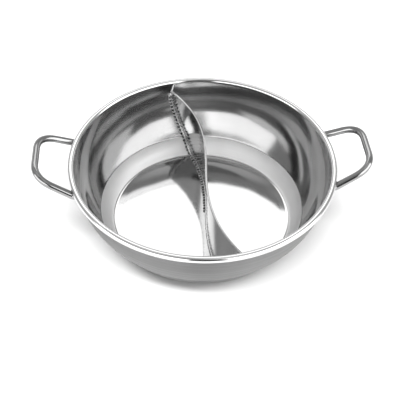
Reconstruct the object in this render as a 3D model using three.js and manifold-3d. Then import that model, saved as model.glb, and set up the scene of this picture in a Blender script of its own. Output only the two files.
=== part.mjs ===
// A divided hot pot pan of stainless steel: a wide drawn pan with a rolled rim, an upright
// S-shaped divider welded in on one side, and two bent rod handles welded under the rim.
// Millimetres, +Z up, origin under the middle of the base, handles along X.

import * as THREE from 'three';
import { mergeVertices } from 'three/addons/utils/BufferGeometryUtils.js';
import Module from 'manifold-3d';

const wasm = await Module();
wasm.setup();

// Driving dimensions
const RIM_RADIUS = 150;
const PAN_HEIGHT = 90;
const SHEET = 1;
const GAP = 0.3;
const AROUND = 64;

// Pan: inner face of the drawn sheet, from the floor up to the rolled rim
const FLOOR_RADIUS = 104;
const FLOOR_ROUND = 3;
const ROUND_SHARE = 0.15;
const CREASE_RADIUS = 118;
const CREASE_HEIGHT = 20.5;
const CORNER_BULGE = 1.6;
const WALL_TOP_RADIUS = 143;
const WALL_BULGE = 7;
const RIM_INNER_ROUND = 3.2;
const RIM_OUTER_ROUND = 3;
const LIP_DEPTH = 4.6;

// Divider: sheet on an S-shaped line across the pan, leaning a little towards -X
const DIVIDER_SHEET = 1.2;
const DIVIDER_TOP = 77;
const DIVIDER_SHIFT = 7.5;
const DIVIDER_SLANT = 0.062;
const DIVIDER_SWEEP = 44;
const SWEEP_RADIUS = 142;
const SWEEP_POWER = 2.75;
const DIVIDER_LEAN = 0.047;
const DIVIDER_STEPS = 34;
const HEM_RADIUS = 1.2;
const HEM_SIDES = 8;

// Weld: fillet bead in the corner between the divider, the floor and the wall
const BEAD_RADIUS = 1.5;
const BEAD_TOP = 74;
const BEAD_SIDES = 6;
const BEAD_STEPS = 56;
const FOOT_SPANS = 11;

// Handles: one bent rod each, its feet butting against the wall under the rim
const ROD_RADIUS = 4.1;
const ROD_SIDES = 10;
const ROD_STEPS = 44;
const FOOT = new THREE.Vector3(132, 45.4, PAN_HEIGHT - 10);
const KNEE = new THREE.Vector3(143, 43.2, PAN_HEIGHT - 10);
const BEND = new THREE.Vector3(183.4, 34.4, PAN_HEIGHT + 10);
const KNEE_ROUND = 8;
const BEND_ROUND = 27;

// ---------------------------------------------------------------- outlines

// The control point of a shallow arc between two points that stands out by bulge on its right.
function bulgeControl(start, end, bulge) {
  const chord = end.clone().sub(start);
  const outward = new THREE.Vector2(chord.y, -chord.x).normalize();
  return start.clone().add(end).multiplyScalar(0.5).addScaledVector(outward, 2 * bulge);
}

// The inner face of the pan as points of radius and height, from the axis out to the wall's top.
function innerFace() {
  const divisions = 4;
  const crease = new THREE.Vector2(CREASE_RADIUS, CREASE_HEIGHT);
  const wallTop = new THREE.Vector2(WALL_TOP_RADIUS, PAN_HEIGHT - RIM_INNER_ROUND);
  const floorEdge = new THREE.Vector2(FLOOR_RADIUS, SHEET);
  const corner = bulgeControl(floorEdge, crease, CORNER_BULGE);
  const wall = bulgeControl(crease, wallTop, WALL_BULGE);
  const cornerRest = corner.clone().lerp(crease, ROUND_SHARE);
  const cornerStart = floorEdge.clone().lerp(corner, ROUND_SHARE).lerp(cornerRest, ROUND_SHARE);
  const face = new THREE.Path();
  face.moveTo(0, SHEET);
  face.lineTo(FLOOR_RADIUS - FLOOR_ROUND, SHEET);
  face.quadraticCurveTo(floorEdge.x, floorEdge.y, cornerStart.x, cornerStart.y);
  face.quadraticCurveTo(cornerRest.x, cornerRest.y, crease.x, crease.y);
  face.quadraticCurveTo(wall.x, wall.y, wallTop.x, wallTop.y);
  return face.getPoints(divisions);
}

// The rolled rim: over the top and down to the lip's free edge.
function rimFace() {
  const divisions = 2;
  const rim = new THREE.Path();
  const innerTop = WALL_TOP_RADIUS + RIM_INNER_ROUND;
  const outerTop = RIM_RADIUS - RIM_OUTER_ROUND;
  rim.absarc(innerTop, PAN_HEIGHT - RIM_INNER_ROUND, RIM_INNER_ROUND, Math.PI, Math.PI / 2, true);
  rim.absarc(outerTop, PAN_HEIGHT - RIM_OUTER_ROUND, RIM_OUTER_ROUND, Math.PI / 2, 0, true);
  rim.lineTo(RIM_RADIUS, PAN_HEIGHT - LIP_DEPTH);
  return rim.getPoints(divisions).slice(1);
}

// The same outline moved sideways: to the right of its travel for a distance above 0.
function offsetOutline(points, distance) {
  return points.map((point, index) => {
    const before = points[Math.max(index - 1, 0)];
    const after = points[Math.min(index + 1, points.length - 1)];
    const incoming = (index === 0 ? after.clone().sub(point) : point.clone().sub(before)).normalize();
    const outgoing = (point === after ? incoming.clone() : after.clone().sub(point)).normalize();
    const tangent = incoming.clone().add(outgoing).normalize();
    const miter = distance / incoming.dot(tangent);
    return new THREE.Vector2(point.x + tangent.y * miter, point.y - tangent.x * miter);
  });
}

// Inner radius of the pan at a height above the floor, read off the outline.
function radiusAt(face, height) {
  const index = face.findIndex((point) => point.y > height);
  const above = face[index];
  const below = face[index - 1];
  return below.x + (above.x - below.x) * (height - below.y) / (above.y - below.y);
}

// The divider's line in plan: nearly straight in the middle, sweeping aside at both ends.
function dividerLine(y, height) {
  const sweep = DIVIDER_SWEEP * Math.sign(y) * Math.abs(y / SWEEP_RADIUS) ** SWEEP_POWER;
  return new THREE.Vector2(DIVIDER_SHIFT + DIVIDER_SLANT * y - sweep - DIVIDER_LEAN * height, y);
}

// A point beside the divider's line, on the side of -X.
function besideDivider(y, height, distance) {
  const nudge = 0.5;
  const along = dividerLine(y + nudge, height).sub(dividerLine(y - nudge, height)).normalize();
  const sideways = new THREE.Vector2(-along.y, along.x);
  return dividerLine(y, height).addScaledVector(sideways, distance);
}

// Where the line beside the divider comes to a radius, at the end of the pan that side names.
function besideDividerAt(radius, height, distance, side) {
  const halvings = 30;
  let near = 0;
  let far = WALL_TOP_RADIUS;
  for (let halving = 0; halving < halvings; halving += 1) {
    const middle = (near + far) / 2;
    const isNearer = besideDivider(side * middle, height, distance).length() < radius;
    near = isNearer ? middle : near;
    far = isNearer ? far : middle;
  }
  return besideDivider(side * near, height, distance);
}

// ------------------------------------------------------------------ solids

function toManifold(geometry) {
  geometry.deleteAttribute('normal');
  geometry.deleteAttribute('uv');
  const merged = mergeVertices(geometry);
  const vertProperties = Float32Array.from(merged.attributes.position.array);
  const triVerts = Uint32Array.from(merged.index.array);
  return new wasm.Manifold(new wasm.Mesh({ numProp: 3, vertProperties, triVerts }));
}

function toGeometry(solid) {
  const { numProp, vertProperties, triVerts } = solid.getMesh();
  const positions = new Float32Array(triVerts.length * 3);
  triVerts.forEach((vertex, corner) => {
    for (let axis = 0; axis < 3; axis += 1) {
      positions[corner * 3 + axis] = vertProperties[vertex * numProp + axis];
    }
  });
  const geometry = new THREE.BufferGeometry();
  geometry.setAttribute('position', new THREE.BufferAttribute(positions, 3));
  geometry.computeVertexNormals();
  return geometry;
}

// A solid of revolution about Z from an outline that starts and ends on the axis.
function turned(outline) {
  return new THREE.LatheGeometry(outline, AROUND).rotateX(Math.PI / 2);
}

// A path of straight runs whose inner corners are rounded off.
function roundedPath(points, rounds) {
  const path = new THREE.CurvePath();
  let start = points[0];
  rounds.forEach((round, index) => {
    const corner = points[index + 1];
    const back = points[index].clone().sub(corner).normalize();
    const ahead = points[index + 2].clone().sub(corner).normalize();
    const setBack = round / Math.tan(back.angleTo(ahead) / 2);
    const entry = corner.clone().addScaledVector(back, setBack);
    const exit = corner.clone().addScaledVector(ahead, setBack);
    path.add(new THREE.LineCurve3(start, entry));
    path.add(new THREE.QuadraticBezierCurve3(entry, corner, exit));
    start = exit;
  });
  path.add(new THREE.LineCurve3(start, points[points.length - 1]));
  return path;
}

// A round bar along a path. A full circle gets two sides for each curve segment.
function swept(path, radius, sides, steps) {
  const section = new THREE.Shape();
  section.absarc(0, 0, radius, 0, 2 * Math.PI);
  const curveSegments = sides / 2;
  return new THREE.ExtrudeGeometry(section, { steps, curveSegments, extrudePath: path });
}

// ------------------------------------------------------------------- parts

const steel = { metalness: 1, roughness: 0.2 };

function part(name, geometry, color) {
  const material = new THREE.MeshStandardMaterial({ ...steel, color });
  const mesh = new THREE.Mesh(geometry, material);
  mesh.name = name;
  return mesh;
}

// The pan: one sheet, drawn and rolled over at the rim, open under the lip.
function panBody(face) {
  const sheetTop = [...face, ...rimFace()];
  const sheetUnder = offsetOutline(sheetTop, SHEET).reverse();
  return part('pan_body', turned([...sheetTop, ...sheetUnder].reverse()), 0xd8dadc);
}

// The whole space within the pan's wall moved out by a distance, up to the wall's top.
// Below 0 it is the room inside the pan, and beyond the sheet it is what the feet butt against.
function spaceWithin(face, distance) {
  const wall = offsetOutline(face, distance);
  wall[0].x = 0;
  return toManifold(turned([...wall, new THREE.Vector2(0, wall[wall.length - 1].y)]));
}

// The divider: an S-shaped sheet sheared to its lean, with a rounded hem along its top edge.
function divider(inside) {
  const reach = WALL_TOP_RADIUS;
  const left = [];
  const right = [];
  const hemLine = [];
  for (let step = 0; step <= DIVIDER_STEPS; step += 1) {
    const y = reach * (2 * step / DIVIDER_STEPS - 1);
    left.push(besideDivider(y, 0, DIVIDER_SHEET / 2));
    right.push(besideDivider(y, 0, -DIVIDER_SHEET / 2));
    const middle = dividerLine(y, DIVIDER_TOP - HEM_RADIUS);
    hemLine.push(new THREE.Vector3(middle.x, middle.y, DIVIDER_TOP - HEM_RADIUS));
  }
  const plan = new THREE.Shape([...left, ...right.reverse()]);
  const depth = DIVIDER_TOP - HEM_RADIUS;
  const upright = new THREE.ExtrudeGeometry(plan, { depth, bevelEnabled: false });
  const leaning = new THREE.Matrix4().makeShear(0, 0, 0, 0, -DIVIDER_LEAN, 0);
  const sheet = toManifold(upright.applyMatrix4(leaning));
  const hemPath = new THREE.CatmullRomCurve3(hemLine);
  const hem = toManifold(swept(hemPath, HEM_RADIUS, HEM_SIDES, DIVIDER_STEPS));
  return part('divider', toGeometry(sheet.add(hem).intersect(inside)), 0xc9cbce);
}

// The weld bead on the divider's -X side: down one wall, along the foot and up the other wall.
function dividerWeld(face, inside) {
  const inset = GAP + BEAD_RADIUS;
  const beside = DIVIDER_SHEET / 2 + inset;
  const beadLine = offsetOutline(face, -inset);
  const climb = beadLine.filter(({ x, y }) => x > 0 && y < BEAD_TOP);
  climb.push(new THREE.Vector2(radiusAt(beadLine, BEAD_TOP), BEAD_TOP));
  const upTheWall = (side) => climb.map(({ x, y }) => {
    const plan = besideDividerAt(x, y, beside, side);
    return new THREE.Vector3(plan.x, plan.y, y);
  });
  const foot = [];
  const footReach = FLOOR_RADIUS - 2 * FLOOR_ROUND;
  for (let span = 1; span < FOOT_SPANS; span += 1) {
    const y = footReach * (1 - 2 * span / FOOT_SPANS);
    const plan = besideDivider(y, SHEET + inset, beside);
    foot.push(new THREE.Vector3(plan.x, plan.y, SHEET + inset));
  }
  const path = new THREE.CatmullRomCurve3([...upTheWall(1).reverse(), ...foot, ...upTheWall(-1)]);
  const bead = toManifold(swept(path, BEAD_RADIUS, BEAD_SIDES, BEAD_STEPS));
  return part('divider_weld', toGeometry(bead.intersect(inside)), 0xb4b6b9);
}

// One handle: a rod bent to a bow that rises outwards, both feet cut to the wall's curve.
function handle(name, face, side) {
  const mirrored = ({ x, y, z }) => new THREE.Vector3(x, -y, z);
  const corners = [FOOT, KNEE, BEND, mirrored(BEND), mirrored(KNEE), mirrored(FOOT)];
  const placed = corners.map(({ x, y, z }) => new THREE.Vector3(side * x, side * y, z));
  const rounds = [KNEE_ROUND, BEND_ROUND, BEND_ROUND, KNEE_ROUND];
  const rod = toManifold(swept(roundedPath(placed, rounds), ROD_RADIUS, ROD_SIDES, ROD_STEPS));
  return part(name, toGeometry(rod.subtract(spaceWithin(face, SHEET + GAP))), 0xcfd1d4);
}

// ---------------------------------------------------------------- assembly

const face = innerFace();
const inside = spaceWithin(face, -GAP);
const pan = new THREE.Group();
pan.add(panBody(face));
pan.add(divider(inside));
pan.add(dividerWeld(face, inside));
pan.add(handle('handle_right', face, 1));
pan.add(handle('handle_left', face, -1));

export default pan;
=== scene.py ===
# A divided hot pot pan of stainless steel: a wide drawn pan with a rolled rim, an upright
# S-shaped divider welded in on one side, and two bent rod handles welded under the rim.
# Metres, +Z up, origin under the middle of the base, handles along X.

import math

import bpy
from mathutils import Matrix, Vector


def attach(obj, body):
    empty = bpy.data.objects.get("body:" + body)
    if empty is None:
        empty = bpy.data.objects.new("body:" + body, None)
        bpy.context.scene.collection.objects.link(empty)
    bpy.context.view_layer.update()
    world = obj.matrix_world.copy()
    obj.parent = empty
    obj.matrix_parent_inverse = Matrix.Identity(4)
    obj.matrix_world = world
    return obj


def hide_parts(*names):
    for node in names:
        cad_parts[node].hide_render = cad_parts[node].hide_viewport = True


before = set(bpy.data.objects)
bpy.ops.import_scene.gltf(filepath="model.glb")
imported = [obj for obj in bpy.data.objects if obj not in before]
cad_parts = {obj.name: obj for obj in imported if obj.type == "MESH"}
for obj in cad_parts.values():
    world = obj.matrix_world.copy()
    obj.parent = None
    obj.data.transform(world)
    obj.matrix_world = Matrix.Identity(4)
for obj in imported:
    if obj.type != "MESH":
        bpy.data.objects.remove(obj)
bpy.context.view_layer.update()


# ------------------------------------------------------------------ pan body
# One sheet of stainless steel, drawn to a flat floor, a stepped corner and a flared wall, and
# rolled over at the rim. It is polished inside and over the rim, finely brushed at the corner,
# and satin brushed outside, where the brush ran round the pan. The corner's steel is painted a
# lighter grey with some diffuse colour, as painted light, and the outside's steel a much darker
# grey, as painted shade.

SHEET = 0.001
PAN_HEIGHT = 0.090
RIM_RADIUS = 0.150
FLOOR_RADIUS = 0.104
FLOOR_ROUND = 0.003
CREASE_RADIUS = 0.118
CREASE_HEIGHT = 0.0205
CORNER_BULGE = 0.0016
WALL_TOP_RADIUS = 0.143
WALL_BULGE = 0.007
RIM_INNER_ROUND = 0.0032
RIM_OUTER_ROUND = 0.003
LIP_DEPTH = 0.0046
BRUSHED_TOP = 0.0195

# How much of the corner's curve its rounds take up, at the floor and at the crease. The wall's
# curve is about three times as long, so the crease takes up a third of that share of it.
ROUND_SHARE = 0.15
CREASE_SHARE = 0.03

# How finely the outline and its turn are divided.
FLOOR_RINGS = 16
FLOOR_ROUND_STEPS = 8
CORNER_STEPS = 16
CREASE_STEPS = 6
WALL_STEPS = 30
RIM_STEPS = 10
AROUND_PAN = 288

# The pan's finishes, in the order of its materials.
INSIDE = 0
CORNER = 1
RIM = 2
OUTSIDE = 3


def curved(start, control, end, steps, first=0.0, last=1.0):
    """Points of the curve that leaves start towards control and comes to end from it, between
    the shares first and last of its way."""
    points = []
    for step in range(steps + 1):
        share = first + (last - first) * step / steps
        points.append(start.lerp(control, share).lerp(control.lerp(end, share), share))
    return points


def bulge_control(start, end, bulge):
    """The control point that makes a curve stand out by bulge on the right of its travel."""
    chord = end - start
    outward = Vector((chord.y, -chord.x)).normalized()
    return (start + end) / 2 + outward * 2 * bulge


def arc(centre, radius, start_degrees, end_degrees, steps):
    """Points of a circle's arc."""
    points = []
    for step in range(steps + 1):
        degrees = start_degrees + (end_degrees - start_degrees) * step / steps
        angle = math.radians(degrees)
        points.append(centre + radius * Vector((math.cos(angle), math.sin(angle))))
    return points


def inside_outline():
    """Radius and height along the inside of the sheet, from the axis to the wall's top."""
    round_start = Vector((FLOOR_RADIUS - FLOOR_ROUND, SHEET))
    floor_edge = Vector((FLOOR_RADIUS, SHEET))
    crease = Vector((CREASE_RADIUS, CREASE_HEIGHT))
    wall_top = Vector((WALL_TOP_RADIUS, PAN_HEIGHT - RIM_INNER_ROUND))
    corner = bulge_control(floor_edge, crease, CORNER_BULGE)
    wall = bulge_control(crease, wall_top, WALL_BULGE)
    floor = [Vector((round_start.x * ring / FLOOR_RINGS, SHEET)) for ring in range(FLOOR_RINGS)]
    corner_curve = curved(floor_edge, corner, crease, CORNER_STEPS, ROUND_SHARE, 1 - CREASE_SHARE)
    wall_curve = curved(crease, wall, wall_top, WALL_STEPS, CREASE_SHARE / 3)
    floor_round = curved(round_start, floor_edge, corner_curve[0], FLOOR_ROUND_STEPS)
    crease_round = curved(corner_curve[-1], crease, wall_curve[0], CREASE_STEPS)
    return [*floor, *floor_round, *corner_curve[1:], *crease_round[1:], *wall_curve[1:]]


def rim_outline():
    """On over the rolled rim and down to the lip's free edge."""
    inner_centre = Vector((WALL_TOP_RADIUS + RIM_INNER_ROUND, PAN_HEIGHT - RIM_INNER_ROUND))
    outer_centre = Vector((RIM_RADIUS - RIM_OUTER_ROUND, PAN_HEIGHT - RIM_OUTER_ROUND))
    return [
        *arc(inner_centre, RIM_INNER_ROUND, 180, 90, RIM_STEPS)[1:],
        *arc(outer_centre, RIM_OUTER_ROUND, 90, 0, RIM_STEPS),
        Vector((RIM_RADIUS, PAN_HEIGHT - LIP_DEPTH)),
    ]


def beside_outline(points, distance):
    """The same outline moved to the right of its travel."""
    moved = []
    for index, point in enumerate(points):
        before = points[max(index - 1, 0)]
        after = points[min(index + 1, len(points) - 1)]
        along = ((point - before).normalized() + (after - point).normalized()).normalized()
        moved.append(point + distance * Vector((along.y, -along.x)))
    return moved


def travelled_along(points):
    """How far along the line each of its points lies."""
    travelled = [0.0]
    for here, there in zip(points, points[1:]):
        travelled.append(travelled[-1] + (there - here).length)
    return travelled


SHARP_EDGE = math.radians(35)


def new_piece(name, vertices, faces, grain, finishes, finish_of_face=None):
    """A mesh object whose grain attribute holds coordinates that follow its surface."""
    mesh = bpy.data.meshes.new(name)
    mesh.from_pydata(vertices, [], faces)
    attribute = mesh.attributes.new("grain", "FLOAT_VECTOR", "POINT")
    for value, place in zip(attribute.data, grain):
        value.vector = place
    for finish in finishes:
        mesh.materials.append(finish)
    for index, polygon in enumerate(mesh.polygons):
        polygon.use_smooth = True
        polygon.material_index = finish_of_face[index] if finish_of_face else 0
    mesh.set_sharp_from_angle(angle=SHARP_EDGE)
    piece = bpy.data.objects.new(name, mesh)
    bpy.context.scene.collection.objects.link(piece)
    return piece


def feed(tree, node, inputs):
    """Sets each input of a node to its value, or links it where it is another node's output."""
    for name, value in inputs.items():
        if isinstance(value, bpy.types.NodeSocket):
            tree.links.new(value, node.inputs[name])
        else:
            node.inputs[name].default_value = value
    return node


def add_node(tree, kind, inputs=None, **settings):
    """A new node of a tree, with its settings made before its inputs are fed."""
    node = tree.nodes.new(kind)
    for setting, value in settings.items():
        setattr(node, setting, value)
    return feed(tree, node, inputs or {})


# The noise that the polishing lines are drawn with lies between LINES_LOW and LINES_HIGH, and
# its product with the clouds between CLOUDS_LOW and CLOUDS_HIGH. The clouds take the steel from
# DARK_TONE to LIGHT_TONE, and the waves are the shallow dents that pressing leaves in a sheet.
LINES_LOW = 0.3
LINES_HIGH = 0.7
CLOUD_SCALE = 34.0
CLOUDS_LOW = 0.12
CLOUDS_HIGH = 0.4
DARK_TONE = 0.95
LIGHT_TONE = 1.03
WAVE_SCALE = 16.0


def steel(name, grey, roughness, streaks, grain_scale, line_depth, wave_depth,
          use_grain=True, metallic=1.0):
    """Bare steel whose fine polishing lines follow the grain, on a sheet that is a little wavy.
    The lines take the roughness up and down by streaks."""
    finish = bpy.data.materials.new(name)
    finish.use_nodes = True
    tree = finish.node_tree
    place = add_node(tree, "ShaderNodeTexCoord").outputs["Object"]
    grain = place
    if use_grain:
        grain = add_node(tree, "ShaderNodeAttribute", attribute_name="grain").outputs["Vector"]
    stretched = add_node(tree, "ShaderNodeMapping", {"Vector": grain, "Scale": grain_scale})
    lines = add_node(tree, "ShaderNodeTexNoise", {
        "Vector": stretched.outputs["Vector"],
        "Scale": 1.0,
        "Detail": 4.0,
        "Roughness": 0.6,
    }).outputs["Fac"]
    gloss = add_node(tree, "ShaderNodeMapRange", {
        "Value": lines,
        "From Min": LINES_LOW,
        "From Max": LINES_HIGH,
        "To Min": roughness - streaks,
        "To Max": roughness + streaks,
    })

    clouds = add_node(tree, "ShaderNodeTexNoise", {
        "Vector": place,
        "Scale": CLOUD_SCALE,
        "Detail": 3.0,
    }).outputs["Fac"]
    blend = add_node(tree, "ShaderNodeMath", {0: clouds, 1: lines}, operation="MULTIPLY")
    spread = add_node(tree, "ShaderNodeMapRange", {
        "Value": blend.outputs["Value"],
        "From Min": CLOUDS_LOW,
        "From Max": CLOUDS_HIGH,
    })
    tone = add_node(tree, "ShaderNodeMix", {
        "Factor": spread.outputs["Result"],
        "A": (*[channel * DARK_TONE for channel in grey], 1),
        "B": (*[channel * LIGHT_TONE for channel in grey], 1),
    }, data_type="RGBA")

    waves = add_node(tree, "ShaderNodeTexNoise", {
        "Vector": place,
        "Scale": WAVE_SCALE,
        "Detail": 1.0,
    }).outputs["Fac"]
    wavy = add_node(tree, "ShaderNodeBump", {
        "Height": waves,
        "Strength": 1.0,
        "Distance": wave_depth,
    })
    lined = add_node(tree, "ShaderNodeBump", {
        "Height": lines,
        "Strength": 1.0,
        "Distance": line_depth,
        "Normal": wavy.outputs["Normal"],
    })
    feed(tree, tree.nodes["Principled BSDF"], {
        "Metallic": metallic,
        "Roughness": gloss.outputs["Result"],
        "Base Color": tone.outputs["Result"],
        "Normal": lined.outputs["Normal"],
    })
    return finish


QUARTER_TURN = 0.25


def brush_round(finish, strength):
    """Brushing round the axis, which draws each light out up and down the wall."""
    tree = finish.node_tree
    place = add_node(tree, "ShaderNodeTexCoord").outputs["Object"]
    around = add_node(tree, "ShaderNodeVectorMath", {
        0: (0, 0, 1),
        1: place,
    }, operation="CROSS_PRODUCT")
    feed(tree, tree.nodes["Principled BSDF"], {
        "Anisotropic": strength,
        "Anisotropic Rotation": QUARTER_TURN,
        "Tangent": around.outputs["Vector"],
    })


# The radius at which the grain's coordinates run round the pan.
GRAIN_RADIUS = 0.1


def pan_finish(index, middle, inside_count, face_count):
    """The finish of the ring that follows an outline's point, whose middle is given."""
    if index >= face_count:
        return OUTSIDE
    if index >= inside_count - 1:
        return RIM
    if middle.x > FLOOR_RADIUS and middle.y < BRUSHED_TOP:
        return CORNER
    return INSIDE


def spun_pan(inside, finishes):
    """The sheet's two faces spun round the axis as one closed skin."""
    face = [*inside, *rim_outline()]
    under = beside_outline(face, SHEET)
    for point in under:
        point.x = max(point.x, 0)
        point.y = max(point.y, 0)
    outline = [*face, *reversed(under)]
    last = len(outline) - 1
    vertices, grain, rings = [], [], []
    for index, (point, distance) in enumerate(zip(outline, travelled_along(outline))):
        count = 1 if index in (0, last) else AROUND_PAN
        rings.append([len(vertices) + turn for turn in range(count)])
        for turn in range(count):
            angle = 2 * math.pi * turn / AROUND_PAN
            across, back = math.cos(angle), math.sin(angle)
            vertices.append((point.x * across, point.x * back, point.y))
            grain.append((GRAIN_RADIUS * across, GRAIN_RADIUS * back, distance))
    faces, finish_of_face = [], []
    for index in range(last):
        here, there = rings[index], rings[index + 1]
        middle = (outline[index] + outline[index + 1]) / 2
        finish = pan_finish(index, middle, len(inside), len(face))
        for turn in range(AROUND_PAN):
            onward = (turn + 1) % AROUND_PAN
            corners = [here[turn % len(here)], here[onward % len(here)],
                       there[onward % len(there)], there[turn % len(there)]]
            faces.append(list(dict.fromkeys(corners)))
            finish_of_face.append(finish)
    return new_piece("pan_shell", vertices, faces, grain, finishes, finish_of_face)


POLISHED_GREY = (0.5, 0.5, 0.5)
# Painted light: the corner's steel is a lighter grey than the rest of the sheet.
CORNER_LIGHTENED_GREY = (0.75, 0.75, 0.75)
RIM_GREY = (0.62, 0.62, 0.62)
# Painted shade: the outside's steel is a much darker grey than the rest of the sheet.
OUTSIDE_SHADED_GREY = (0.2, 0.2, 0.2)

polished_inside = steel("polished_inside", POLISHED_GREY, roughness=0.09, streaks=0.02,
                        grain_scale=(14, 14, 1500), line_depth=1e-6, wave_depth=0.0006)
# The corner's lighter grey and its bit of diffuse colour are painted light on the band.
brushed_corner = steel("brushed_corner", CORNER_LIGHTENED_GREY, roughness=0.52, streaks=0.05,
                       grain_scale=(10, 10, 1500), line_depth=6e-6, wave_depth=0.0002,
                       metallic=0.9)
polished_rim = steel("polished_rim", RIM_GREY, roughness=0.12, streaks=0.03,
                     grain_scale=(14, 14, 2500), line_depth=1e-6, wave_depth=0.0001)
satin_outside = steel("satin_outside", OUTSIDE_SHADED_GREY, roughness=0.48, streaks=0.14,
                      grain_scale=(5, 5, 520), line_depth=3e-5, wave_depth=0.0002)
brush_round(satin_outside, strength=0.85)
pan_inside = inside_outline()
pan_wall = pan_inside[FLOOR_RINGS:]
pan_shell = spun_pan(pan_inside, [polished_inside, brushed_corner, polished_rim, satin_outside])
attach(pan_shell, "root")
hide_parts("pan_body")


# ------------------------------------------------------------------- divider
# A sheet on an S-shaped line across the pan, leaning a little towards -X, cut to the floor and
# the wall and let a little into them, with a full rounded edge along its top. Its polishing
# lines run upright.

DIVIDER_SHEET = 0.0012
DIVIDER_TOP = 0.077
DIVIDER_SHIFT = 0.0075
DIVIDER_SLANT = 0.062
DIVIDER_SWEEP = 0.044
SWEEP_RADIUS = 0.142
SWEEP_POWER = 2.75
DIVIDER_LEAN = 0.047
EDGE_RADIUS = 0.0012
EDGE_STEPS = 12
LET_IN = 0.0004
DIVIDER_STEPS = 200
NUDGE = 0.0005
HALVINGS = 40


def divider_line(y, height):
    """The divider's line in plan: nearly straight in the middle, sweeping aside at both ends."""
    sweep = DIVIDER_SWEEP * math.copysign(abs(y / SWEEP_RADIUS) ** SWEEP_POWER, y)
    return Vector((DIVIDER_SHIFT + DIVIDER_SLANT * y - sweep - DIVIDER_LEAN * height, y))


def beside_divider(y, height, distance):
    """A point beside the line, on the side of -X, and the direction that leads there."""
    along = (divider_line(y + NUDGE, height) - divider_line(y - NUDGE, height)).normalized()
    sideways = Vector((-along.y, along.x))
    return divider_line(y, height) + sideways * distance, sideways


def beside_divider_at(radius, height, distance, end):
    """Where the line beside the divider comes to a radius, at the pan's end of that sign."""
    near, far = 0.0, RIM_RADIUS
    for halving in range(HALVINGS):
        middle = (near + far) / 2
        if beside_divider(end * middle, height, distance)[0].length < radius:
            near = middle
        else:
            far = middle
    return end * near


def inside_radius(height):
    """Radius of the inside of the wall at a height."""
    height = min(height, pan_wall[-2].y)
    above = next(index for index, point in enumerate(pan_wall) if point.y > height)
    low, high = pan_wall[above - 1], pan_wall[above]
    share = (height - low.y) / (high.y - low.y)
    return low.x + share * (high.x - low.x)


def divider_section():
    """Half the sheet's section, from its foot to the top of its rounded edge: the offset from
    its middle, the height, and the wall's radius there."""
    half = DIVIDER_SHEET / 2
    edge_centre = DIVIDER_TOP - EDGE_RADIUS
    neck = math.degrees(math.acos(half / EDGE_RADIUS))
    section = [(half, SHEET - LET_IN, pan_wall[0].x)]
    for point in pan_wall:
        if point.y < edge_centre - 2 * EDGE_RADIUS:
            section.append((half, point.y, point.x))
    for point in arc(Vector((0, edge_centre)), EDGE_RADIUS, -neck, 90, EDGE_STEPS):
        section.append((max(point.x, 0.0), point.y, inside_radius(point.y)))
    return section


def cut_divider(finish):
    """The sheet as rows at rising heights, each cut to the wall at its own height."""
    section = divider_section()
    vertices, grain, sides = [], [], []
    for side in (1, -1):
        rows = []
        for offset, height, radius in section:
            if side < 0 and offset == 0:
                rows.append(sides[0][-1])
                continue
            front = beside_divider_at(radius + LET_IN, height, side * offset, -1)
            back = beside_divider_at(radius + LET_IN, height, side * offset, 1)
            rows.append([len(vertices) + step for step in range(DIVIDER_STEPS + 1)])
            for step in range(DIVIDER_STEPS + 1):
                y = front + (back - front) * step / DIVIDER_STEPS
                spot = beside_divider(y, height, side * offset)[0]
                vertices.append((spot.x, spot.y, height))
                grain.append((y, side * offset, height))
        sides.append(rows)
    left, right = sides
    faces = []
    for low, high in zip(left, left[1:]):
        for step in range(DIVIDER_STEPS):
            faces.append([low[step], high[step], high[step + 1], low[step + 1]])
    for low, high in zip(right, right[1:]):
        for step in range(DIVIDER_STEPS):
            faces.append([low[step], low[step + 1], high[step + 1], high[step]])
    for step in range(DIVIDER_STEPS):
        faces.append([left[0][step], left[0][step + 1], right[0][step + 1], right[0][step]])
    for row in range(len(section) - 1):
        for step, turn in ((0, 1), (DIVIDER_STEPS, -1)):
            corners = [left[row][step], right[row][step],
                       right[row + 1][step], left[row + 1][step]]
            faces.append(list(dict.fromkeys(corners))[::turn])
    return new_piece("divider_sheet", vertices, faces, grain, [finish])


polished_divider = steel("polished_divider", POLISHED_GREY, roughness=0.15, streaks=0.03,
                         grain_scale=(900, 900, 12), line_depth=1e-6, wave_depth=0.0004)
divider_sheet = cut_divider(polished_divider)
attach(divider_sheet, "root")
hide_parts("divider")


# ---------------------------------------------------------------- weld bead
# The fillet weld that holds the divider, laid on its -X side down the back wall, along the
# floor and up the front wall. Its back half is left as laid, with raised ripples beside the bead,
# every other one painted near black as shade in the hollows between ripples, over a faint uneven
# heat tint. From the middle of the floor to the front it is dressed smooth.

BEAD_RADIUS = 0.0016
BEAD_INSET = 0.0009
BEAD_TOP = 0.074
BEAD_SIDES = 18
FLOOR_SPANS = 120
RIPPLE_PITCH = 0.0023
RIPPLE_RADIUS = 0.0016
RIPPLE_RISE = 0.0018
RIPPLE_SHIFT = 0.0014
RIPPLE_LEAN = math.radians(-10)
RIPPLE_SEED = 7
RIPPLE_SEGMENTS = 14
RIPPLE_RINGS = 8
RIPPLES_END = 0.003

# The least and the most that a ripple is stretched by, twice across the weld and once along it.
LEAST_STRETCH = (0.85, 0.85, 0.6)
MOST_STRETCH = (1.15, 1.15, 0.85)

# The painted shade of a dark ripple above that of a bright one, and the greys without any tint
# and at its most, where painted shade and heat tint add up.
DARK_RIPPLE_SHADE = 0.75
WELD_GREY = (0.62, 0.62, 0.62)
COOL_GREY = (0.6, 0.6, 0.6, 1)
SHADE_AND_BURN_GREY = (0.012, 0.012, 0.012, 1)


def weld_point(y, height, inward):
    """A point of the bead's middle line, and the direction out of the corner that it fills. The
    pan's sheet faces inward there, given as radius and height."""
    spot, sideways = beside_divider(y, height, DIVIDER_SHEET / 2 + BEAD_INSET)
    radial = spot.normalized()
    away = Vector((inward.x * radial.x + sideways.x, inward.x * radial.y + sideways.y, inward.y))
    return Vector((spot.x, spot.y, height)), away.normalized()


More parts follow.
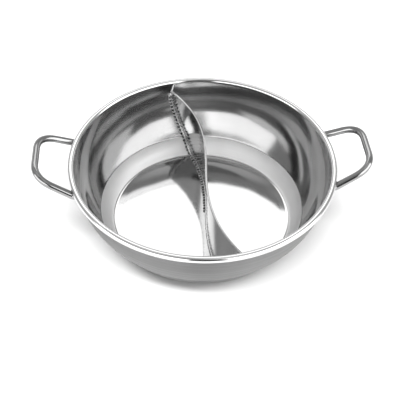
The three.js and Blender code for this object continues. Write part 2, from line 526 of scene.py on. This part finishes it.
def weld_up_wall(end):
    """The bead's points from the floor up the wall, at the pan's end of that sign."""
    points = []
    beside_wall = beside_outline(pan_inside, -BEAD_INSET)[FLOOR_RINGS:]
    for wall, point in zip(pan_wall, beside_wall):
        if point.y < BEAD_TOP:
            y = beside_divider_at(point.x, point.y, DIVIDER_SHEET / 2 + BEAD_INSET, end)
            points.append(weld_point(y, point.y, (point - wall).normalized()))
    return points


def weld_line():
    """The bead's middle line, down the back wall, along the floor and up the front wall."""
    back, front = weld_up_wall(1), weld_up_wall(-1)
    reach = back[0][0].y
    floor = []
    for span in range(1, FLOOR_SPANS):
        y = reach * (1 - 2 * span / FLOOR_SPANS)
        floor.append(weld_point(y, SHEET + BEAD_INSET, Vector((0, 1))))
    return [*reversed(back), *floor, *front]


def ripple_turn(tree, given):
    """The turn that stands a ripple across the bead, facing out of the corner, and leans it."""
    tangent = add_node(tree, "GeometryNodeInputTangent")
    along = add_node(tree, "FunctionNodeAlignRotationToVector", {
        "Vector": tangent.outputs["Tangent"],
    }, axis="Z")
    away = add_node(tree, "GeometryNodeInputNamedAttribute", {
        "Name": "away",
    }, data_type="FLOAT_VECTOR")
    outward = add_node(tree, "FunctionNodeAlignRotationToVector", {
        "Rotation": along.outputs["Rotation"],
        "Vector": away.outputs["Attribute"],
    }, axis="X", pivot_axis="Z")
    lean = add_node(tree, "FunctionNodeAxisAngleToRotation", {
        "Axis": (0, 1, 0),
        "Angle": given["Lean"],
    })
    leaning = add_node(tree, "FunctionNodeRotateRotation", {
        "Rotation": outward.outputs["Rotation"],
        "Rotate By": lean.outputs["Rotation"],
    }, rotation_space="LOCAL")
    return leaning.outputs["Rotation"]


def laid_ripples(tree, given, curve):
    """Uneven flattened balls along the part of the curve that is left as laid, each raised out
    of the corner and shifted from the divider's side, so that they lie beside the bead."""
    uneven = add_node(tree, "FunctionNodeRandomValue", {
        "Min": LEAST_STRETCH,
        "Max": MOST_STRETCH,
        "Seed": given["Seed"],
    }, data_type="FLOAT_VECTOR")
    ball = add_node(tree, "GeometryNodeMeshUVSphere", {
        "Segments": RIPPLE_SEGMENTS,
        "Rings": RIPPLE_RINGS,
        "Radius": given["Ripple radius"],
    })
    rippled = add_node(tree, "GeometryNodeInputNamedAttribute", {
        "Name": "rippled",
    }, data_type="BOOLEAN")
    laid = add_node(tree, "GeometryNodeInstanceOnPoints", {
        "Points": curve,
        "Selection": rippled.outputs["Attribute"],
        "Instance": ball.outputs["Mesh"],
        "Rotation": ripple_turn(tree, given),
        "Scale": uneven.outputs["Value"],
    })
    rise = add_node(tree, "ShaderNodeCombineXYZ", {
        "X": given["Ripple rise"],
        "Y": given["Ripple shift"],
    })
    raised = add_node(tree, "GeometryNodeTranslateInstances", {
        "Instances": laid.outputs["Instances"],
        "Translation": rise.outputs["Vector"],
        "Local Space": True,
    })
    return raised.outputs["Instances"]


def shaded_heated_ripples(tree, given, ripples):
    """The same ripples with their tint: painted shade, high on every other one, over a faint
    random heat tint.
    """
    tint = add_node(tree, "FunctionNodeRandomValue", {
        "Min": 0.0,
        "Max": 1 - DARK_RIPPLE_SHADE,
        "Seed": given["Seed"],
    })
    index = add_node(tree, "GeometryNodeInputIndex").outputs["Index"]
    # Painted shade: every other ripple is made near black, standing for the hollows between
    # ripples.
    every_other = add_node(tree, "ShaderNodeMath", {0: index, 1: 2}, operation="MODULO")
    shade_and_heat = add_node(tree, "ShaderNodeMath", {
        0: every_other.outputs["Value"],
        1: DARK_RIPPLE_SHADE,
        2: tint.outputs["Value"],
    }, operation="MULTIPLY_ADD")
    shaded_heated = add_node(tree, "GeometryNodeStoreNamedAttribute", {
        "Geometry": ripples,
        "Name": "shade_and_heat_tint",
        "Value": shade_and_heat.outputs["Value"],
    }, data_type="FLOAT", domain="INSTANCE")
    return shaded_heated.outputs["Geometry"]


def ripple_tree(sizes, finish):
    """Geometry nodes: a round bead along the line, with overlapping ripples where it is raw."""
    tree = bpy.data.node_groups.new("weld_ripples", "GeometryNodeTree")
    tree.interface.new_socket("Line", socket_type="NodeSocketGeometry")
    sockets = {}
    for name, size in sizes.items():
        kind = "NodeSocketInt" if isinstance(size, int) else "NodeSocketFloat"
        sockets[name] = tree.interface.new_socket(name, socket_type=kind)
    tree.interface.new_socket("Weld", in_out="OUTPUT", socket_type="NodeSocketGeometry")

    given = add_node(tree, "NodeGroupInput").outputs
    curve = add_node(tree, "GeometryNodeMeshToCurve", {"Mesh": given["Line"]})
    spaced = add_node(tree, "GeometryNodeResampleCurve", {
        "Curve": curve.outputs["Curve"],
        "Length": given["Ripple pitch"],
    }, mode="LENGTH")
    circle = add_node(tree, "GeometryNodeCurvePrimitiveCircle", {
        "Resolution": BEAD_SIDES,
        "Radius": given["Bead radius"],
    })
    bead = add_node(tree, "GeometryNodeCurveToMesh", {
        "Curve": spaced.outputs["Curve"],
        "Profile Curve": circle.outputs["Curve"],
        "Fill Caps": True,
    })
    ripples = laid_ripples(tree, given, spaced.outputs["Curve"])

    together = add_node(tree, "GeometryNodeJoinGeometry")
    tree.links.new(bead.outputs["Mesh"], together.inputs["Geometry"])
    tree.links.new(shaded_heated_ripples(tree, given, ripples), together.inputs["Geometry"])
    solid = add_node(tree, "GeometryNodeRealizeInstances", {
        "Geometry": together.outputs["Geometry"],
    })
    smooth = add_node(tree, "GeometryNodeSetShadeSmooth", {
        "Geometry": solid.outputs["Geometry"],
    })
    finished = add_node(tree, "GeometryNodeSetMaterial", {
        "Geometry": smooth.outputs["Geometry"],
        "Material": finish,
    })
    add_node(tree, "NodeGroupOutput", {"Weld": finished.outputs["Geometry"]})
    return tree, sockets


def weld_finish():
    """Bright where it is dressed, and darker with a ripple's tint, which is painted shade on every
    other ripple and a faint heat tint on all.
    """
    finish = steel("weld_steel", WELD_GREY, roughness=0.26, streaks=0.08,
                   grain_scale=(700, 700, 700), line_depth=4e-6, wave_depth=0.0,
                   use_grain=False)
    tree = finish.node_tree
    shade_and_heat = add_node(tree, "ShaderNodeAttribute", attribute_name="shade_and_heat_tint").outputs["Fac"]
    tint = add_node(tree, "ShaderNodeValToRGB", {"Fac": shade_and_heat})
    cool, shade_and_burn = tint.color_ramp.elements
    cool.color, shade_and_burn.color = COOL_GREY, SHADE_AND_BURN_GREY
    feed(tree, tree.nodes["Principled BSDF"], {"Base Color": tint.outputs["Color"]})
    return finish


def laid_weld():
    """The bead and its ripples, made along the weld's line by geometry nodes."""
    line = weld_line()
    mesh = bpy.data.meshes.new("divider_weld_bead")
    edges = [(index, index + 1) for index in range(len(line) - 1)]
    mesh.from_pydata([spot for spot, away in line], edges, [])
    mesh.attributes.new("away", "FLOAT_VECTOR", "POINT")
    mesh.attributes.new("rippled", "BOOLEAN", "POINT")
    away, rippled = mesh.attributes["away"], mesh.attributes["rippled"]
    for index, (spot, direction) in enumerate(line):
        away.data[index].vector = direction
        rippled.data[index].value = spot.y > RIPPLES_END
    bead = bpy.data.objects.new("divider_weld_bead", mesh)
    bpy.context.scene.collection.objects.link(bead)
    sizes = {
        "Bead radius": BEAD_RADIUS,
        "Ripple pitch": RIPPLE_PITCH,
        "Ripple radius": RIPPLE_RADIUS,
        "Ripple rise": RIPPLE_RISE,
        "Ripple shift": RIPPLE_SHIFT,
        "Lean": RIPPLE_LEAN,
        "Seed": RIPPLE_SEED,
    }
    tree, sockets = ripple_tree(sizes, weld_finish())
    ripples = bead.modifiers.new("weld_ripples", "NODES")
    ripples.node_group = tree
    for name, size in sizes.items():
        ripples[sockets[name].identifier] = size
    bpy.context.view_layer.update()
    evaluated = bead.evaluated_get(bpy.context.evaluated_depsgraph_get())
    laid = bpy.data.meshes.new_from_object(evaluated)
    bead.modifiers.clear()
    bead.data = laid
    return bead


weld_bead = laid_weld()
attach(weld_bead, "root")
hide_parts("divider_weld")


# ------------------------------------------------------------------- handles
# Two rods of stainless steel, each bent to a bow that rises outwards from the wall under the
# rim, and polished along their length. Their feet are welded to the wall, where the hot metal
# was pushed out to a small flare.

ROD_RADIUS = 0.0041
ROD_SIDES = 32
RUN_STEPS = 14
FOOT = Vector((0.132, 0.0454, PAN_HEIGHT - 0.010))
KNEE = Vector((0.143, 0.0432, PAN_HEIGHT - 0.010))
BEND = Vector((0.1834, 0.0344, PAN_HEIGHT + 0.010))
KNEE_ROUND = 0.008
BEND_ROUND = 0.027
FLARE = 0.0011
FLARE_LENGTH = 0.0013
CUTTING_STEPS = 6
# Painted shade: the rods' steel is a darker grey than the pan's, which darkens their reflections.
ROD_SHADED_GREY = (0.3, 0.3, 0.3)


def mirrored(corner):
    """The same corner on the handle's front half."""
    return Vector((corner.x, -corner.y, corner.z))


def rounded_line(corners, rounds, steps):
    """Points along straight runs whose inner corners are rounded off."""
    points = []
    start = corners[0]
    for corner_index, rounding in enumerate(rounds, 1):
        corner = corners[corner_index]
        back = (corners[corner_index - 1] - corner).normalized()
        ahead = (corners[corner_index + 1] - corner).normalized()
        set_back = rounding / math.tan(back.angle(ahead) / 2)
        entry, leave = corner + back * set_back, corner + ahead * set_back
        points.extend(start.lerp(entry, step / steps) for step in range(steps))
        points.extend(curved(entry, corner, leave, 2 * steps)[:-1])
        start = leave
    points.extend(start.lerp(corners[-1], step / steps) for step in range(steps + 1))
    return points


def depth_in_wall(spot):
    """How far a point lies within the middle of the wall's sheet, towards the axis."""
    return inside_radius(spot.z) + SHEET / 2 - spot.xy.length


def rod_spot(point, spoke, outward, is_end):
    """A point of the rod's skin. At the rod's ends, and where it would reach into the wall, it is
    moved along the rod onto the wall."""
    spot = point + spoke
    if is_end or depth_in_wall(spot) > 0:
        for nearing in range(CUTTING_STEPS):
            spot += outward * depth_in_wall(spot)
    return spot


def bent_handle(name, side, finish):
    """A rod along the bow, its two end faces cut to the wall."""
    corners = [FOOT, KNEE, BEND, mirrored(BEND), mirrored(KNEE), mirrored(FOOT)]
    line = rounded_line(corners, [KNEE_ROUND, BEND_ROUND, BEND_ROUND, KNEE_ROUND], RUN_STEPS)
    line = [point for point in line if depth_in_wall(point) < 0]
    last = len(line) - 1
    travelled = travelled_along(line)
    across = Vector((0, 0, 1))
    vertices, grain = [], []
    for index, point in enumerate(line):
        ahead = (line[min(index + 1, last)] - line[max(index - 1, 0)]).normalized()
        across = (across - ahead * across.dot(ahead)).normalized()
        sideways = ahead.cross(across)
        outward = ahead if index < len(line) / 2 else -ahead
        from_foot = min(travelled[index], travelled[-1] - travelled[index])
        radius = ROD_RADIUS + FLARE * math.exp(-((from_foot / FLARE_LENGTH) ** 2))
        for turn in range(ROD_SIDES):
            angle = 2 * math.pi * turn / ROD_SIDES
            spoke = (across * math.cos(angle) + sideways * math.sin(angle)) * radius
            spot = rod_spot(point, spoke, outward, index in (0, last))
            vertices.append((side * spot.x, side * spot.y, spot.z))
            grain.append((ROD_RADIUS * math.cos(angle), ROD_RADIUS * math.sin(angle),
                          travelled[index]))
    faces = []
    for index in range(last):
        here, there = index * ROD_SIDES, (index + 1) * ROD_SIDES
        for turn in range(ROD_SIDES):
            onward = (turn + 1) % ROD_SIDES
            faces.append([here + turn, here + onward, there + onward, there + turn])
    faces.append(list(range(ROD_SIDES))[::-1])
    faces.append([last * ROD_SIDES + turn for turn in range(ROD_SIDES)])
    return new_piece(name, vertices, faces, grain, [finish])


polished_rod = steel("polished_rod", ROD_SHADED_GREY, roughness=0.12, streaks=0.04,
                     grain_scale=(1100, 1100, 16), line_depth=1e-6, wave_depth=0.0)
for name, node, side in (("handle_rod_right", "handle_right", 1),
                         ("handle_rod_left", "handle_left", -1)):
    rod = bent_handle(name, side, polished_rod)
    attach(rod, "root")
    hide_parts(node)


# --------------------------------------------------------------------- table
# A plain white table that the pan stands on. It is painted matt, and its paint is faintly
# uneven.

TABLE_SIZE = 12.0
TABLE_WHITE = 0.4
PAINT_UNEVENNESS = 0.01
PAINT_SCALE = 30.0


def white_table():
    """The table's top as one square, and its paint."""
    half = TABLE_SIZE / 2
    corners = [(-half, -half, 0), (half, -half, 0), (half, half, 0), (-half, half, 0)]
    mesh = bpy.data.meshes.new("table")
    mesh.from_pydata(corners, [], [(0, 1, 2, 3)])
    paint = bpy.data.materials.new("table_white")
    paint.use_nodes = True
    tree = paint.node_tree
    grain = add_node(tree, "ShaderNodeTexNoise", {
        "Vector": add_node(tree, "ShaderNodeTexCoord").outputs["Object"],
        "Scale": PAINT_SCALE,
    })
    tone = add_node(tree, "ShaderNodeMix", {
        "Factor": grain.outputs["Fac"],
        "A": (*[TABLE_WHITE - PAINT_UNEVENNESS] * 3, 1),
        "B": (*[TABLE_WHITE + PAINT_UNEVENNESS] * 3, 1),
    }, data_type="RGBA")
    feed(tree, tree.nodes["Principled BSDF"], {
        "Roughness": 1.0,
        "Specular IOR Level": 0.0,
        "Base Color": tone.outputs["Result"],
    })
    mesh.materials.append(paint)
    table = bpy.data.objects.new("table", mesh)
    bpy.context.scene.collection.objects.link(table)
    return table


white_table()


# --------------------------------------------------------------------- light
# A soft lamp overhead, which the steel doesn't mirror, and a dim room with a ring of soft light
# and dark panels, which it does.

LAMP_PLACE = Vector((-0.2, -0.7, 1.75))
LAMP_WIDTH = 2.4
LAMP_DEPTH = 0.5
LAMP_WATTS = 150.0

lamp_data = bpy.data.lights.new("overhead_lamp", "AREA")
lamp_data.shape = "RECTANGLE"
lamp_data.size = LAMP_WIDTH
lamp_data.size_y = LAMP_DEPTH
lamp_data.energy = LAMP_WATTS
lamp = bpy.data.objects.new("overhead_lamp", lamp_data)
lamp.location = LAMP_PLACE
lamp.rotation_euler = LAMP_PLACE.to_track_quat("Z", "Y").to_euler()
lamp.visible_glossy = False
bpy.context.scene.collection.objects.link(lamp)

# Each panel: azimuth from +Y towards +X and elevation of its middle, half its width and height,
# the softness of its edge, all in degrees, and its brightness. A later panel covers the earlier.
ROOM_LIGHT = 0.55
PANELS = (
    (0, 46, 27, 8, 4, 2.3),
    (0, 10, 60, 9, 10, 1.2),
    (-130, 18, 38, 14, 6, 3.6),
    (126, 27, 38, 25, 6, 3.6),
    (180, 26, 13, 24, 4, 0.05),
    (180, 0, 34, 6, 4, 0.05),
    (-62, 51, 22, 11, 5, 0.75),
    (0, 90, 180, 22, 12, 1.0),
    (-150, 80, 40, 16, 8, 0.3),
)


def measure(tree, operation, *values):
    """The result of one sum on the angles and brightnesses of the panels."""
    node = add_node(tree, "ShaderNodeMath", dict(enumerate(values)), operation=operation)
    return node.outputs["Value"]


def within(tree, angle, half, edge):
    """1 where an angle is less than half away from a panel's middle, 0 beyond its soft edge."""
    near = add_node(tree, "ShaderNodeMapRange", {
        "Value": measure(tree, "ABSOLUTE", angle),
        "From Min": math.radians(half + edge / 2),
        "From Max": math.radians(half - edge / 2),
    }, interpolation_type="SMOOTHSTEP")
    return near.outputs["Result"]


def studio_world():
    """The room round the table, as a brightness for every direction."""
    world = bpy.data.worlds.new("studio")
    world.use_nodes = True
    tree = world.node_tree
    direction = add_node(tree, "ShaderNodeTexCoord").outputs["Generated"]
    light = ROOM_LIGHT
    for azimuth, elevation, half_width, half_height, edge, brightness in PANELS:
        turned = add_node(tree, "ShaderNodeVectorRotate", {
            "Vector": direction,
            "Angle": math.radians(azimuth),
        }, rotation_type="Z_AXIS")
        split = add_node(tree, "ShaderNodeSeparateXYZ", {
            "Vector": turned.outputs["Vector"],
        }).outputs
        aside = measure(tree, "ARCTAN2", split["X"], split["Y"])
        height = measure(tree, "ARCSINE", split["Z"])
        rise = measure(tree, "SUBTRACT", height, math.radians(elevation))
        share = measure(tree, "MULTIPLY", within(tree, aside, half_width, edge),
                        within(tree, rise, half_height, edge))
        difference = measure(tree, "SUBTRACT", brightness, light)
        light = measure(tree, "MULTIPLY_ADD", share, difference, light)
    feed(tree, tree.nodes["Background"], {"Color": light})
    return world


bpy.context.scene.world = studio_world()


# -------------------------------------------------------------------- camera
# It stands in front of the pan and a little to its left, looks down at about 45 degrees and is
# held almost level. Light goes to and fro between the bright walls, so it is followed for long.

CAMERA_PLACE = Vector((-0.0577, -0.6642, 0.6942))
CAMERA_HEADING = math.radians(-4.8)
CAMERA_TILT = math.radians(44.81)
CAMERA_ROLL = math.radians(1.43)
LENS = 72.54
SENSOR_WIDTH = 36.0
GLOSSY_BOUNCES = 10
MAX_BOUNCES = 14

camera_data = bpy.data.cameras.new("camera")
camera_data.sensor_width = SENSOR_WIDTH
camera_data.lens = LENS
camera = bpy.data.objects.new("camera", camera_data)
camera.matrix_world = (
    Matrix.Translation(CAMERA_PLACE)
    @ Matrix.Rotation(CAMERA_HEADING, 4, "Z")
    @ Matrix.Rotation(CAMERA_TILT, 4, "X")
    @ Matrix.Rotation(CAMERA_ROLL, 4, "Z")
)
bpy.context.scene.collection.objects.link(camera)
bpy.context.scene.camera = camera
bpy.context.scene.view_settings.view_transform = "Standard"
bpy.context.scene.cycles.glossy_bounces = GLOSSY_BOUNCES
bpy.context.scene.cycles.max_bounces = MAX_BOUNCES
